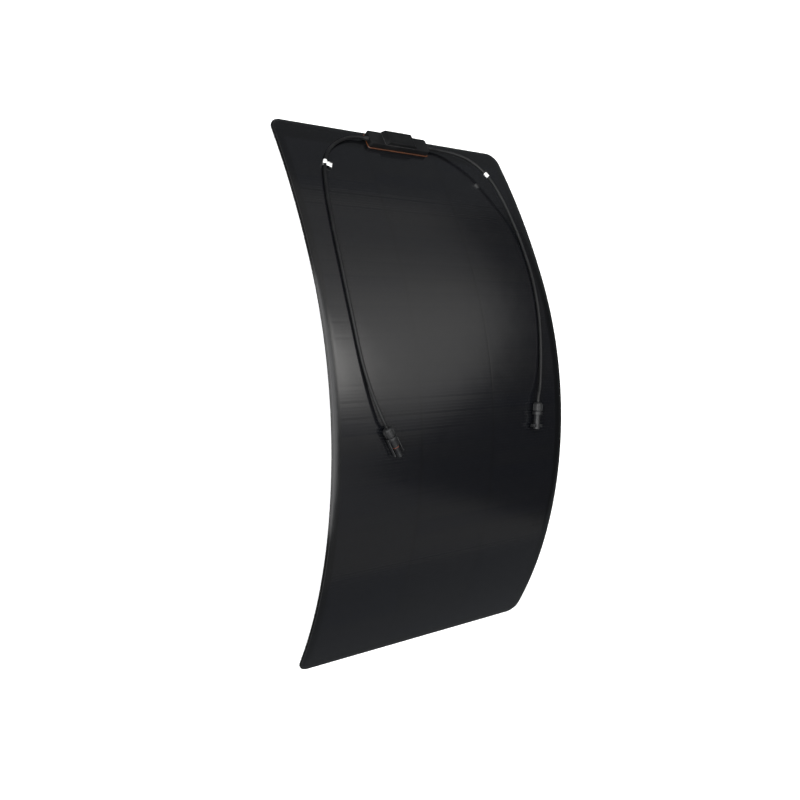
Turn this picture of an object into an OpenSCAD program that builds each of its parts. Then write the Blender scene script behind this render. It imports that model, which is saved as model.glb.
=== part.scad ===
// Flexible solar sheet: a bent laminate of cell strips with a low junction box at one short
// end and two leads that lie on its face. It lies as an arch, face up, on its two short edges.
// X runs across the sheet, +Y points to the box end, and +Z is up.

/* [Sheet] */
// Width of the sheet
sheet_w = 540; // [450:10:660]
// Length of the sheet, measured along its bent underside
sheet_len = 1050; // [870:10:1260]
// Radius of the four corners
corner_r = 24; // [16:1:50]
// Bend radius of the stretch next to the junction box
box_bend_r = 1400; // [1150:10:3000]
// Bend radius of the rest of the sheet
main_bend_r = 760; // [600:10:1500]

/* [Layers] */
// Fibreglass board that carries the laminate
board_t = 1.1; // [0.8:0.1:1.6]
// Insulating film on the board
insulation_t = 0.2; // [0.1:0.05:0.4]
// Encapsulant behind the cells
rear_encapsulant_t = 0.4; // [0.3:0.05:0.8]
// Cell wafers and the bus ribbons beside them
cell_t = 0.2; // [0.15:0.05:0.3]
// Encapsulant over the cells
front_encapsulant_t = 0.4; // [0.3:0.05:0.8]
// Clear front film
film_t = 0.2; // [0.1:0.05:0.4]

/* [Cells] */
// Cell strips in each string
strip_count = 36; // [32:1:40]
// Strips between the box end and the change of bend
box_bend_strips = 10; // [6:1:14]
// Strips between the box end and the line where the far end flexes
flex_strips = 28; // [27:1:31]
// Bare margin along the two long edges
side_margin = 18; // [10:1:25]
// Bare margin at the box end, where the junction box stands
box_end_margin = 42; // [40:1:55]
// Bare margin at the far end
far_end_margin = 18; // [16:1:30]
// Gap between two strings
string_gap = 3; // [1:0.5:6]
// Width of the bus ribbons
ribbon_w = 5; // [3:0.5:6]
// Gap between the two halves of the laminate at the flex line
flex_gap = 0.8; // [0.7:0.1:1.2]

/* [Junction box] */
// Length of the box across the sheet
box_w = 140; // [118:1:168]
// Depth of the box along the sheet
box_d = 32; // [28:1:36]
// Distance from the sheet's end to the box
box_setback = 5; // [4:1:8]
// Height of the box's two shoulders
shoulder_h = 11; // [10.5:0.5:14]
// Height of the box with its lid
box_h = 18; // [16:0.5:22]
// Wall of the box and its lid
box_wall = 2; // [1.5:0.1:2.5]
// Length of the raised lid across the sheet
lid_w = 74; // [62:1:88]
// Run of the slope at each end of the lid
lid_slope = 6; // [2:1:9]
// Adhesive pad under the box
pad_t = 0.8; // [0.5:0.1:1.5]
// Gasket between the box and its lid
gasket_t = 1; // [0.6:0.1:1.5]
// Width of the sealant bead round the foot of the box
bead_w = 2.5; // [1.5:0.5:3.5]

/* [Leads] */
// Outer diameter of the leads
lead_d = 6; // [5:0.5:6.5]
// Diameter of their copper core
core_d = 2.6; // [2:0.1:3]
// Length of the rubber bush outside the box
bush_out = 12; // [8:1:16]
// Length of the white marker on each lead
marker_len = 10; // [8:1:14]

/* [Connectors] */
// Diameter of the contact pin
pin_d = 4; // [3.5:0.1:4.4]
// Radial clearance of the contact socket on its pin
contact_clearance = 0.05; // [0.02:0.01:0.1]
// Outer diameter of the cap nuts
nut_d = 18.6; // [17:0.2:18.8]
// Length of the cap nuts
nut_len = 17; // [15:0.5:20]
// Length of the connector with the contact socket
socket_len = 58; // [54:1:66]
// Length of the connector with the contact pin
pin_len = 52; // [50:1:58]
// Ribs round a cap nut
rib_count = 12; // [8:1:16]

/* [Hidden] */
$fn = 64;
// Segments in a full turn of the sheet's bend
bend_fn = 1440;

// Small overrun that carries a cut past the face it opens
over = 1;
// Clearance between parts that move past each other
play = 0.3;
// Clearance of the cells and ribbons in the encapsulant
nest = 0.01;

// Heights of the layers above the underside of the sheet
insulation_h = board_t;
rear_h = insulation_h + insulation_t;
cell_h = rear_h + rear_encapsulant_t;
front_h = cell_h + cell_t;
film_h = front_h + front_encapsulant_t;
sheet_t = film_h + film_t;

// Places along the sheet, from the box end
strip_pitch = (sheet_len - box_end_margin - far_end_margin) / strip_count;
arc_change = box_end_margin + box_bend_strips * strip_pitch;
flex_line = box_end_margin + flex_strips * strip_pitch;
near_end = flex_line - flex_gap / 2;
far_start = flex_line + flex_gap / 2;
far_ribbon_s = sheet_len - far_end_margin + ribbon_w;
strip_slit = flex_gap + 0.2;
function strip_start(i) = box_end_margin + i * strip_pitch + strip_slit / 2;
function strip_end(i) = box_end_margin + (i + 1) * strip_pitch - strip_slit / 2;

// Strings across the sheet
string_count = 3;
cell_w = (sheet_w - 2 * side_margin - (string_count - 1) * string_gap) / string_count;
function string_x(k) = -sheet_w / 2 + side_margin + k * (cell_w + string_gap);

// The bend: two arcs that meet at arc_change, turned so that both ends touch the floor.
// A slope is the angle of the sheet above level, met on the way from the box end.
box_turn = arc_change / box_bend_r * 180 / PI;
main_turn = (sheet_len - arc_change) / main_bend_r * 180 / PI;
function up(a) = [sin(a), cos(a)];
chord = box_bend_r * (up(-box_turn) - up(0))
    + main_bend_r * (up(-box_turn - main_turn) - up(-box_turn));
start_slope = atan2(-chord[1], -chord[0]);
change_slope = start_slope - box_turn;
function slope(s) = s < arc_change
    ? start_slope - s / box_bend_r * 180 / PI
    : change_slope - (s - arc_change) / main_bend_r * 180 / PI;

// Centres of the two arcs in Y and Z, before the model is centred on its length
box_centre = -box_bend_r * up(start_slope);
main_centre = box_centre + (box_bend_r - main_bend_r) * up(change_slope);
function raw_point(s, h) = s < arc_change
    ? box_centre + (box_bend_r + h) * up(slope(s))
    : main_centre + (main_bend_r + h) * up(slope(s));
box_s = box_setback + box_d / 2;
box_top_h = sheet_t + pad_t + box_h;
box_reach = raw_point(box_s, box_top_h)[0] + box_d / 2 * cos(slope(box_s));
near_reach = max(box_reach, raw_point(0, sheet_t)[0]);
far_reach = raw_point(sheet_len, sheet_t)[0];
shift_y = -(near_reach + far_reach) / 2;

// A point of the bent sheet: x across it, s along it from the box end, h above its underside
function sheet_point(x, s, h) = [x, raw_point(s, h)[0] + shift_y, raw_point(s, h)[1]];

// Junction box, in its own frame: Z is up from the top of the pad
box_corner_r = 4;
bead_h = 0.8;
lid_z = shoulder_h + gasket_t;
cavity_w = lid_w - 2 * box_wall;
cavity_d = box_d - 2 * box_wall;
cavity_r = 2;
lip_h = 2;
lip_wall = 1.7;
lid_side = 5;
cable_z = shoulder_h / 2;
bush_d = lead_d + 3;
bush_tip_d = lead_d + 1.6;
bush_in = 16;
bush_face = box_w / 2 + bush_out;

// Terminals, their diode and the lead-outs from the laminate
plate_t = 1;
plate_gap = 1;
plate_top = box_wall + plate_t;
terminal_in = 16;
terminal_out = cavity_w / 2 - 3;
barrel_start = terminal_in + 2;
barrel_len = 8;
barrel_wall = 0.9;
post_w = 4;
lug_start = terminal_in + 1;
lug_len = 3;
lug_h = 3.4;
diode_y = 8;
diode_z = 4.7;
diode_d = 5.2;
diode_len = 9.5;
diode_leg_d = 1.2;
leadout_t = 0.3;
leadout_x = 25;
leadout_top = plate_top + 1;
ribbon_s = box_end_margin - 12;
leadout_left_s = ribbon_s + ribbon_w / 2;
leadout_right_s = ribbon_s - 3 - ribbon_w / 2;
return_start = leadout_right_s - ribbon_w / 2;

// Connectors: middle across and along the sheet, height of the axis over the face, and the
// way they point, from straight down the sheet towards +X
socket_place = [-154, 606, 9.6, 29];
pin_place = [191, 584, 9.6, -6];
seal_d = 11;
seal_x = 6;
seal_len = 7;
spigot_d = 13;
rib_h = 0.8;
rib_w = 2.2;
rib_root = 2;
collar_x = nut_len + 1;
collar_len = 6;
collar_d = 19;
contact_d = 5.4;
contact_x = seal_x + seal_len;

// Front of the socket connector: a body with two flats, a nose with its ring, and the arms
body_d = 16;
nose_d = 9.4;
nose_x = 37;
flat_y = 6.4;
bore_depth = 16;
bore_setback = 1;
oring_d = 1.6;
arm_t = 1.8;
arm_h = 6;
arm_y = 8.4;
arm_x = collar_x + collar_len + play;
arm_end = socket_len - 6;
hook_len = 3;
hook_rise = 1;

// Front of the pin connector: a sleeve that takes the nose, and keepers that catch the hooks
sleeve_gap = 0.25;
sleeve_bore = nose_d + 2 * sleeve_gap;
sleeve_wall = 1.25;
sleeve_d = sleeve_bore + 2 * sleeve_wall;
pin_root = 33;
pin_tip = pin_len - 3;
keeper_x = pin_root + socket_len - arm_end + hook_len + play;
keeper_len = 6;
keeper_wall = 1.3;
keeper_y = arm_y + arm_t + play;

// Leads: x across the sheet, s along it, and height of the centre line over the face
lead_exit = pad_t + cable_z;
lead_left_route = [[-96, 21.5, 6.1], [-112, 25, 5.4], [-128, 32, 4.8], [-143, 41, 4.3],
    [-157, 52, 4], [-169, 64, 3.9], [-179, 78, 3.9], [-187, 94, 3.9], [-193, 112, 3.9],
    [-198, 134, 3.6], [-203, 162, 3.2], [-207, 195, 3.2], [-210, 232, 3.2], [-212, 272, 3.2],
    [-213, 315, 3.2], [-213, 358, 3.2], [-211, 400, 3.2], [-208, 440, 3.3], [-203, 476, 3.9],
    [-196, 508, 5.4], [-187, 538, 7.6]];
lead_right_route = [[96, 21.5, 6.4], [112, 24, 7.8], [128, 28, 10.1], [144, 34, 12.6],
    [159, 42, 14.6], [173, 53, 15.9], [185, 66, 16.4], [195, 81, 16.6], [203, 98, 16.2],
    [211, 120, 14.4], [220, 148, 11], [228, 180, 7.4], [234, 215, 4.8], [237, 252, 3.5],
    [238, 292, 3.2], [236, 334, 3.2], [232, 376, 3.2], [226, 418, 3.3], [219, 458, 3.9],
    [211, 496, 5.6], [203, 528, 7.9]];
tube_sides = 10;
steps_per_span = 2;
marker_left_at = [-187, 94, 3.9];
marker_right_at = [195, 81, 16.6];
marker_gap = 0.2;
marker_wall = 0.5;
flag_t = 0.8;

// A solid that follows the bend, from s0 to s1 and x0 to x1, between two heights. Both arcs
// start at the line where they meet, one each way, so they join exactly.
module bent(s0, s1, x0, x1, h0, h1) {
    translate(sheet_point(0, arc_change, 0)) rotate([-change_slope, 0, 0]) {
        bent_arc(arc_change - s1, arc_change - s0, x0, x1, h0, h1, box_bend_r);
        rotate([0, 0, 180])
            bent_arc(s0 - arc_change, s1 - arc_change, -x1, -x0, h0, h1, main_bend_r);
    }
}
// The part of one arc between two distances from the line where the arcs meet
module bent_arc(a, b, x0, x1, h0, h1, r) {
    first = max(a, 0);
    if (b > first)
        translate([0, 0, -r]) rotate([0, -90, 0])
            rotate_extrude(start = first / r * 180 / PI, angle = (b - first) / r * 180 / PI,
                $fn = bend_fn)
                translate([r + h0, -x1]) square([h1 - h0, x1 - x0]);
}

// Puts its children on the face of the sheet: X across, Y to the box end, Z off the face
module on_sheet(x, s, lift = 0, turn = 0) {
    translate(sheet_point(x, s, sheet_t + lift))
        rotate([-slope(s), 0, 0]) rotate([0, 0, turn]) children();
}

// What is cut away outside a rounded corner
module corner_cut(side, s, way) {
    reach = corner_r + 10;
    on_sheet(side * (sheet_w / 2 - corner_r), s)
        difference() {
            translate([side > 0 ? 0 : -reach, way > 0 ? 0 : -reach, -10])
                cube([reach, reach, 20]);
            cylinder(r = corner_r + 0.1, h = 30, center = true);
        }
}
module near_layer(h0, h1) {
    difference() {
        bent(0, near_end, -sheet_w / 2, sheet_w / 2, h0, h1);
        for (side = [-1, 1]) corner_cut(side, corner_r, 1);
    }
}
module far_layer(h0, h1) {
    difference() {
        bent(far_start, sheet_len, -sheet_w / 2, sheet_w / 2, h0, h1);
        for (side = [-1, 1]) corner_cut(side, sheet_len - corner_r, -1);
    }
}

module backing_board() { color("#17181a") near_layer(0, insulation_h); }
module backing_board_far() { color("#17181a") far_layer(0, insulation_h); }
module insulation_film() { color("#2a2a2c") near_layer(insulation_h, rear_h); }
module insulation_film_far() { color("#2a2a2c") far_layer(insulation_h, rear_h); }

// Rear encapsulant, with a channel for the return ribbon on its lower side
module rear_encapsulant() {
    color("#3a3b3e") difference() {
        near_layer(rear_h, cell_h);
        return_path(return_start, near_end + over, rear_h - over, rear_h + cell_t);
        return_path(return_start, return_start + ribbon_w, rear_h, cell_h + over);
    }
}
module rear_encapsulant_far() {
    color("#3a3b3e") difference() {
        far_layer(rear_h, cell_h);
        return_path(far_start - over, far_ribbon_s + ribbon_w, rear_h - over, rear_h + cell_t);
        return_path(far_ribbon_s, far_ribbon_s + ribbon_w, rear_h, cell_h + over);
    }
}
module return_path(s0, s1, h0, h1) {
    bent(s0, s1, leadout_x - ribbon_w / 2, leadout_x + ribbon_w / 2, h0, h1);
}

// Front encapsulant, with pockets that hold the strings and the ribbons
module string_pockets(a, b) {
    for (k = [0 : string_count - 1])
        bent(strip_start(a), strip_end(b), string_x(k), string_x(k) + cell_w,
            cell_h - over, front_h);
}
module front_encapsulant() {
    color("#101216") difference() {
        near_layer(cell_h, film_h);
        string_pockets(0, flex_strips - 1);
        box_end_bus(cell_h - over, front_h, over);
        leadout_slots();
        return_path(return_start, return_start + ribbon_w, cell_h - over, front_h);
    }
}
module front_encapsulant_far() {
    color("#101216") difference() {
        far_layer(cell_h, film_h);
        string_pockets(flex_strips, strip_count - 1);
        far_end_bus(cell_h - over, front_h, over);
    }
}
module front_film() {
    color("#0b0d11") difference() {
        near_layer(film_h, sheet_t);
        leadout_slots();
    }
}
module front_film_far() { color("#0b0d11") far_layer(film_h, sheet_t); }

// The strips of one string, from strip a to strip b
module strips(k, a, b) {
    color("#15181f") for (i = [a : b])
        bent(strip_start(i), strip_end(i), string_x(k), string_x(k) + cell_w,
            cell_h + nest, front_h - nest);
}
module cells_left() { strips(0, 0, flex_strips - 1); }
module cells_middle() { strips(1, 0, flex_strips - 1); }
module cells_right() { strips(2, 0, flex_strips - 1); }
module cells_left_far() { strips(0, flex_strips, strip_count - 1); }
module cells_middle_far() { strips(1, flex_strips, strip_count - 1); }
module cells_right_far() { strips(2, flex_strips, strip_count - 1); }

// Bus ribbons across both ends of the strings, with a tab to each string. The pockets for
// them are the same shapes, taken deeper and with longer tabs.
module bus(s0, tab0, tab1, h0, h1) {
    bent(s0, s0 + ribbon_w, string_x(0), string_x(2) + cell_w, h0, h1);
    for (k = [0 : string_count - 1])
        bent(tab0, tab1, string_x(k) + cell_w / 4, string_x(k) + cell_w / 4 + ribbon_w, h0, h1);
}
module box_end_bus(h0, h1, longer = 0) {
    bus(ribbon_s, ribbon_s + 1, strip_start(0) + longer, h0, h1);
}
module far_end_bus(h0, h1, longer = 0) {
    bus(far_ribbon_s, strip_end(strip_count - 1) - longer, far_ribbon_s + 1, h0, h1);
}
module box_end_ribbon() { color("#b9bcc0") box_end_bus(cell_h + nest, front_h - nest); }
module far_end_ribbon() { color("#b9bcc0") far_end_bus(cell_h + nest, front_h - nest); }
module return_ribbon() {
    color("#b9bcc0") {
        return_path(return_start, near_end, rear_h + nest, rear_h + cell_t - nest);
        return_path(return_start, return_start + ribbon_w, rear_h + nest, front_h - nest);
    }
}
module return_ribbon_far() {
    color("#b9bcc0") {
        return_path(far_start, far_ribbon_s + ribbon_w, rear_h + nest, rear_h + cell_t - nest);
        return_path(far_ribbon_s, far_ribbon_s + ribbon_w, rear_h + nest, cell_h);
    }
}

// Everything of the junction box stands in the frame of the pad's top
module on_box() { on_sheet(0, box_s, pad_t) children(); }
// A layer of the given thickness on the face under the box, cut to its children's outline
module bonded(thickness) {
    intersection() {
        bent(0, 2 * box_end_margin, -box_w, box_w, sheet_t, sheet_t + thickness);
        on_sheet(0, box_s, -over) linear_extrude(thickness + 2 * over) children();
    }
}
module rounded_block(w, d, h, r) {
    linear_extrude(h) rounded_outline(w, d, r);
}
module rounded_outline(w, d, r) {
    square([w - 2 * r, d], center = true);
    square([w, d - 2 * r], center = true);
    for (x = [-1, 1], y = [-1, 1])
        translate([x * (w / 2 - r), y * (d / 2 - r)]) circle(r);
}
// Slots that let the two lead-outs rise through the laminate, the pad and the box
module leadout_slots() { leadout_pair(front_h - sheet_t - pad_t - over / 10, leadout_top); }
module leadout_pair(z0, z1) {
    leadout(-leadout_x, leadout_left_s, z0, z1);
    leadout(leadout_x, leadout_right_s, z0, z1);
}
module leadout(x, s, z0, z1) {
    on_box() translate([x - ribbon_w / 2, box_s - s - leadout_t / 2, z0])
        cube([ribbon_w, leadout_t, z1 - z0]);
}
module box_pad() {
    color("#202022") difference() {
        bonded(pad_t) rounded_outline(box_w, box_d, box_corner_r);
        leadout_slots();
    }
}
module sealant_bead() {
    color("#4a2413") bonded(pad_t + bead_h) difference() {
        rounded_outline(box_w + 2 * bead_w, box_d + 2 * bead_w, box_corner_r + bead_w);
        rounded_outline(box_w, box_d, box_corner_r);
    }
}
module box_base() {
    color("#1b1c1e") difference() {
        on_box() rounded_block(box_w, box_d, shoulder_h, box_corner_r);
        on_box() translate([0, 0, box_wall])
            rounded_block(cavity_w, cavity_d, shoulder_h, cavity_r);
        for (side = [-1, 1]) on_box() translate([0, 0, cable_z]) rotate([0, side * 90, 0]) {
            cylinder(d = lead_d + 2 * play, h = box_w / 2);
            translate([0, 0, box_w / 2 - bush_in]) cylinder(d = bush_d, h = bush_in + over);
        }
        leadout_slots();
    }
}
module box_gasket() {
    color("#303134") on_box() translate([0, 0, shoulder_h]) difference() {
        rounded_block(lid_w, box_d, gasket_t, cavity_r);
        translate([0, 0, -over])
            rounded_block(cavity_w, cavity_d, gasket_t + 2 * over, cavity_r);
    }
}
// Lid: a sloped cap with a lip that locates in the box
module lid_body(w, d, slope_run, h) {
    translate([0, d / 2, 0]) rotate([90, 0, 0]) linear_extrude(d)
        polygon([[-w / 2, 0], [w / 2, 0], [w / 2 - slope_run, h], [-w / 2 + slope_run, h]]);
}
module box_lid() {
    cap_h = box_h - lid_z;
    inset = play + lip_wall;
    color("#18191b") on_box() translate([0, 0, lid_z]) difference() {
        union() {
            lid_body(lid_w, box_d, lid_slope, cap_h);
            translate([0, 0, -gasket_t - lip_h]) rounded_block(cavity_w - 2 * play,
                cavity_d - 2 * play, gasket_t + lip_h + over, cavity_r - play);
        }
        translate([0, 0, -over]) lid_body(lid_w - 2 * lid_side, cavity_d - 2 * inset,
            lid_slope, cap_h - box_wall + over);
        translate([0, 0, -gasket_t - lip_h - over]) rounded_block(cavity_w - 2 * inset,
            cavity_d - 2 * inset, gasket_t + lip_h + 2 * over, cavity_r / 2);
    }
}
// Terminal: plate, barrel that grips the core, and lug that holds the diode's leg
module terminal(side) {
    color("#c08a4a") difference() {
        on_box() mirror([side < 0 ? 1 : 0, 0, 0]) {
            translate([terminal_in, -cavity_d / 2 + plate_gap, box_wall])
                cube([terminal_out - terminal_in, cavity_d - 4 * plate_gap, plate_t]);
            translate([barrel_start, -post_w / 2, plate_top])
                cube([barrel_len, post_w, cable_z - plate_top]);
            translate([barrel_start, 0, cable_z]) rotate([0, 90, 0])
                cylinder(d = core_d + 2 * barrel_wall, h = barrel_len);
            translate([lug_start, diode_y - post_w / 2, plate_top])
                cube([lug_len, post_w, lug_h]);
        }
        on_box() mirror([side < 0 ? 1 : 0, 0, 0]) {
            translate([barrel_start - over, 0, cable_z]) rotate([0, 90, 0])
                cylinder(d = core_d, h = barrel_len + 2 * over);
            translate([lug_start - over, diode_y, diode_z]) rotate([0, 90, 0])
                cylinder(d = diode_leg_d, h = lug_len + 2 * over);
        }
        leadout_slots();
    }
}
module terminal_left() { terminal(-1); }
module terminal_right() { terminal(1); }
module bypass_diode() {
    color("#111214") on_box() translate([0, diode_y, diode_z]) rotate([0, 90, 0]) {
        cylinder(d = diode_d, h = diode_len, center = true);
        cylinder(d = diode_leg_d, h = 2 * (lug_start + lug_len), center = true);
    }
}
// Flat wire that rises from a ribbon to its terminal
module leadout_wire(x, s) {
    color("#b9bcc0") difference() {
        leadout(x, s, -pad_t - sheet_t, leadout_top);
        bent(0, box_end_margin, -sheet_w / 2, sheet_w / 2, -over, front_h);
    }
}
module leadout_left() { leadout_wire(-leadout_x, leadout_left_s); }
module leadout_right() { leadout_wire(leadout_x, leadout_right_s); }
// Rubber bush in the end wall, with a taper outside
module cable_bush(side) {
    color("#222325") on_box() translate([side * box_w / 2, 0, cable_z])
        rotate([0, side * 90, 0]) difference() {
            union() {
                translate([0, 0, -bush_in]) cylinder(d = bush_d, h = bush_in);
                cylinder(d1 = bush_d, d2 = bush_tip_d, h = bush_out);
            }
            translate([0, 0, -bush_in - over])
                cylinder(d = lead_d, h = bush_in + bush_out + 2 * over);
        }
}
module cable_bush_left() { cable_bush(-1); }
module cable_bush_right() { cable_bush(1); }
// The lead's end inside the box: jacket as far as the cavity, then bare core
module lead_tail(side) {
    jacket_end = cavity_w / 2 + 1;
    color("#1d1e20") on_box() translate([0, 0, cable_z]) rotate([0, side * 90, 0]) {
        translate([0, 0, jacket_end]) cylinder(d = lead_d, h = bush_face - jacket_end);
        translate([0, 0, barrel_start]) cylinder(d = core_d, h = jacket_end - barrel_start);
    }
}
module lead_tail_left() { lead_tail(-1); }
module lead_tail_right() { lead_tail(1); }

// A connector's frame: X along its axis to the tip, from the rear face of its nut
module on_connector(place, len) {
    on_sheet(place[0], place[1], place[2], place[3] - 90) translate([-len / 2, 0, 0]) children();
}
function down_sheet(s) = [0, -cos(slope(s)), sin(slope(s))];
function connector_way(place) = sin(place[3]) * [1, 0, 0] + cos(place[3]) * down_sheet(place[1]);
function connector_point(place, len, d) = sheet_point(place[0], place[1], sheet_t + place[2])
    + (d - len / 2) * connector_way(place);

// Leads: a smooth line through the route's points, then a tube swept along it
function curve(a, b, c, d, t) = 0.5 * ((2 * b) + (c - a) * t + (2 * a - 5 * b + 4 * c - d) * t * t
    + (3 * b - a - 3 * c + d) * t * t * t);
function clamp_index(p, i) = p[max(0, min(len(p) - 1, i))];
function smooth(p, n) = [for (i = [0 : len(p) - 2], j = [0 : n - 1])
    curve(clamp_index(p, i - 1), p[i], p[i + 1], clamp_index(p, i + 2), j / n), p[len(p) - 1]];
function unit(v) = v / norm(v);
function lead_line(side, route, place, len) = smooth(concat(
    [sheet_point(side * bush_face, box_s, sheet_t + lead_exit)],
    [for (q = route) sheet_point(q[0], q[1], sheet_t + q[2])],
    [for (d = [-14, -4, 4, contact_x]) connector_point(place, len, d)]), steps_per_span);
function tangent(p, i) = i == 0 ? [p[1][0] > p[0][0] ? 1 : -1, 0, 0]
    : unit(clamp_index(p, i + 1) - p[i - 1]);
function ring(p, i) = let (
    t = tangent(p, i), side = unit(cross(t, [0, 0, 1])), top = cross(side, t))
    [for (k = [0 : tube_sides - 1])
        p[i] + lead_d / 2 * (cos(k * 360 / tube_sides) * side + sin(k * 360 / tube_sides) * top)];
module tube(p) {
    n = tube_sides;
    last = (len(p) - 1) * n;
    polyhedron(
        points = [for (i = [0 : len(p) - 1]) each ring(p, i)],
        faces = concat(
            [[for (k = [0 : n - 1]) k]],
            [for (i = [0 : len(p) - 2], k = [0 : n - 1])
                [i * n + k, (i + 1) * n + k, (i + 1) * n + (k + 1) % n, i * n + (k + 1) % n]],
            [[for (k = [n - 1 : -1 : 0]) last + k]]),
        convexity = 10);
}
module lead_left() {
    color("#1a1b1d") tube(lead_line(-1, lead_left_route, socket_place, socket_len));
}
module lead_right() {
    color("#1a1b1d") tube(lead_line(1, lead_right_route, pin_place, pin_len));
}

// White marker: a band round the lead with a short flag
module marker(at, turn, flag_w) {
    bore_d = lead_d + 2 * marker_gap;
    color("white") on_sheet(at[0], at[1], at[2], turn) difference() {
        union() {
            rotate([0, 90, 0])
                cylinder(d = bore_d + 2 * marker_wall, h = marker_len, center = true);
            translate([-marker_len / 2, 0, -flag_t / 2])
                cube([marker_len, lead_d / 2 + flag_w, flag_t]);
        }
        rotate([0, 90, 0]) cylinder(d = bore_d, h = marker_len + 2 * over, center = true);
    }
}
module marker_left() { marker(marker_left_at, -112, 11); }
module marker_right() { marker(marker_right_at, -61, 1); }

// Cap nut: ribbed sleeve that closes the rear of a connector
module cap_nut(place, len) {
    color("#26272a") on_connector(place, len) rotate([0, 90, 0]) difference() {
        union() {
            cylinder(d = nut_d - 2 * rib_h, h = nut_len);
            for (k = [0 : rib_count - 1]) rotate([0, 0, k * 360 / rib_count])
                translate([nut_d / 2 - rib_root, -rib_w / 2, 2])
                    cube([rib_root, rib_w, nut_len - 3]);
        }
        translate([0, 0, -over]) cylinder(d = lead_d + 2 * play, h = nut_len + 2 * over);
        translate([0, 0, seal_x - play]) cylinder(d = spigot_d + 2 * play, h = nut_len);
    }
}
module socket_cap_nut() { cap_nut(socket_place, socket_len); }
module pin_cap_nut() { cap_nut(pin_place, pin_len); }
module seal(place, len) {
    color("#3c3d40") on_connector(place, len) translate([seal_x, 0, 0]) rotate([0, 90, 0])
        difference() {
            cylinder(d = seal_d, h = seal_len);
            translate([0, 0, -over]) cylinder(d = lead_d, h = seal_len + 2 * over);
        }
}
module socket_seal() { seal(socket_place, socket_len); }
module pin_seal() { seal(pin_place, pin_len); }
// A round length of a connector, from one place on its axis to another
module turned(d, a, b) {
    translate([a, 0, 0]) rotate([0, 90, 0]) cylinder(d = d, h = b - a);
}
// Spigot for the nut and the collar that both housings share, and the bores through them
module housing_rear() {
    turned(spigot_d, seal_x, collar_x + over);
    turned(collar_d, collar_x, collar_x + collar_len);
}
module housing_bores(contact_end) {
    turned(seal_d, seal_x - over, contact_x);
    turned(contact_d, contact_x - over, contact_end);
}
module socket_housing() {
    ear_y = arm_y + arm_t;
    color("#1f2023") on_connector(socket_place, socket_len) difference() {
        union() {
            housing_rear();
            turned(body_d, collar_x, nose_x);
            turned(nose_d, nose_x - over, socket_len);
            translate([collar_x, -ear_y, -arm_h / 2]) cube([collar_len, 2 * ear_y, arm_h]);
        }
        housing_bores(socket_len + over);
        for (side = [0, 1]) mirror([0, side, 0])
            translate([collar_x + collar_len, flat_y, -arm_h / 2 - play])
                cube([nose_x, body_d, arm_h + 2 * play]);
    }
}
module socket_contact() {
    bore_d = pin_d + 2 * contact_clearance;
    tip = socket_len - bore_setback;
    color("#c9ccd1") on_connector(socket_place, socket_len) difference() {
        turned(contact_d, contact_x, tip);
        turned(bore_d, tip - bore_depth, tip + over);
    }
}
module socket_oring() {
    color("#5a2a22") on_connector(socket_place, socket_len)
        translate([nose_x + oring_d / 2, 0, 0]) rotate([0, 90, 0]) rotate_extrude()
            translate([nose_d / 2 + oring_d / 2, 0]) circle(d = oring_d, $fn = 24);
}
// Latch arm beside the nose, with a hook at its tip
module latch_arm(side) {
    color("#1f2023") on_connector(socket_place, socket_len)
        mirror([0, side > 0 ? 0 : 1, 0]) {
            translate([arm_x, arm_y, -arm_h / 2]) cube([arm_end - arm_x, arm_t, arm_h]);
            translate([arm_end - hook_len, arm_y + arm_t - over, -arm_h / 2])
                cube([hook_len, over + hook_rise, arm_h]);
        }
}
module latch_arm_left() { latch_arm(1); }
module latch_arm_right() { latch_arm(-1); }
module pin_housing() {
    slot_h = arm_h + 2 * play;
    block_h = slot_h + 2 * keeper_wall;
    block_y = keeper_y + keeper_wall;
    color("#1f2023") on_connector(pin_place, pin_len) difference() {
        union() {
            housing_rear();
            turned(sleeve_d, collar_x, pin_len);
            translate([keeper_x, -block_y, -block_h / 2])
                cube([keeper_len, 2 * block_y, block_h]);
        }
        housing_bores(pin_root + over);
        turned(sleeve_bore, pin_root, pin_len + over);
        for (side = [0, 1]) mirror([0, side, 0])
            translate([keeper_x - over, sleeve_d / 2, -slot_h / 2])
                cube([keeper_len + 2 * over, keeper_y - sleeve_d / 2, slot_h]);
    }
}
module pin_contact() {
    color("#c9ccd1") on_connector(pin_place, pin_len) {
        turned(contact_d, contact_x, pin_root);
        turned(pin_d, contact_x, pin_tip);
    }
}

backing_board();
backing_board_far();
insulation_film();
insulation_film_far();
rear_encapsulant();
rear_encapsulant_far();
front_encapsulant();
front_encapsulant_far();
front_film();
front_film_far();
cells_left();
cells_middle();
cells_right();
cells_left_far();
cells_middle_far();
cells_right_far();
box_end_ribbon();
far_end_ribbon();
return_ribbon();
return_ribbon_far();
box_pad();
sealant_bead();
box_base();
box_gasket();
box_lid();
terminal_left();
terminal_right();
bypass_diode();
leadout_left();
leadout_right();
cable_bush_left();
cable_bush_right();
lead_tail_left();
lead_tail_right();
lead_left();
lead_right();
marker_left();
marker_right();
socket_housing();
socket_cap_nut();
socket_seal();
socket_contact();
socket_oring();
latch_arm_left();
latch_arm_right();
pin_housing();
pin_cap_nut();
pin_seal();
pin_contact();
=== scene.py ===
import math

import bmesh
import bpy
from mathutils import Matrix, Vector, noise


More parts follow.
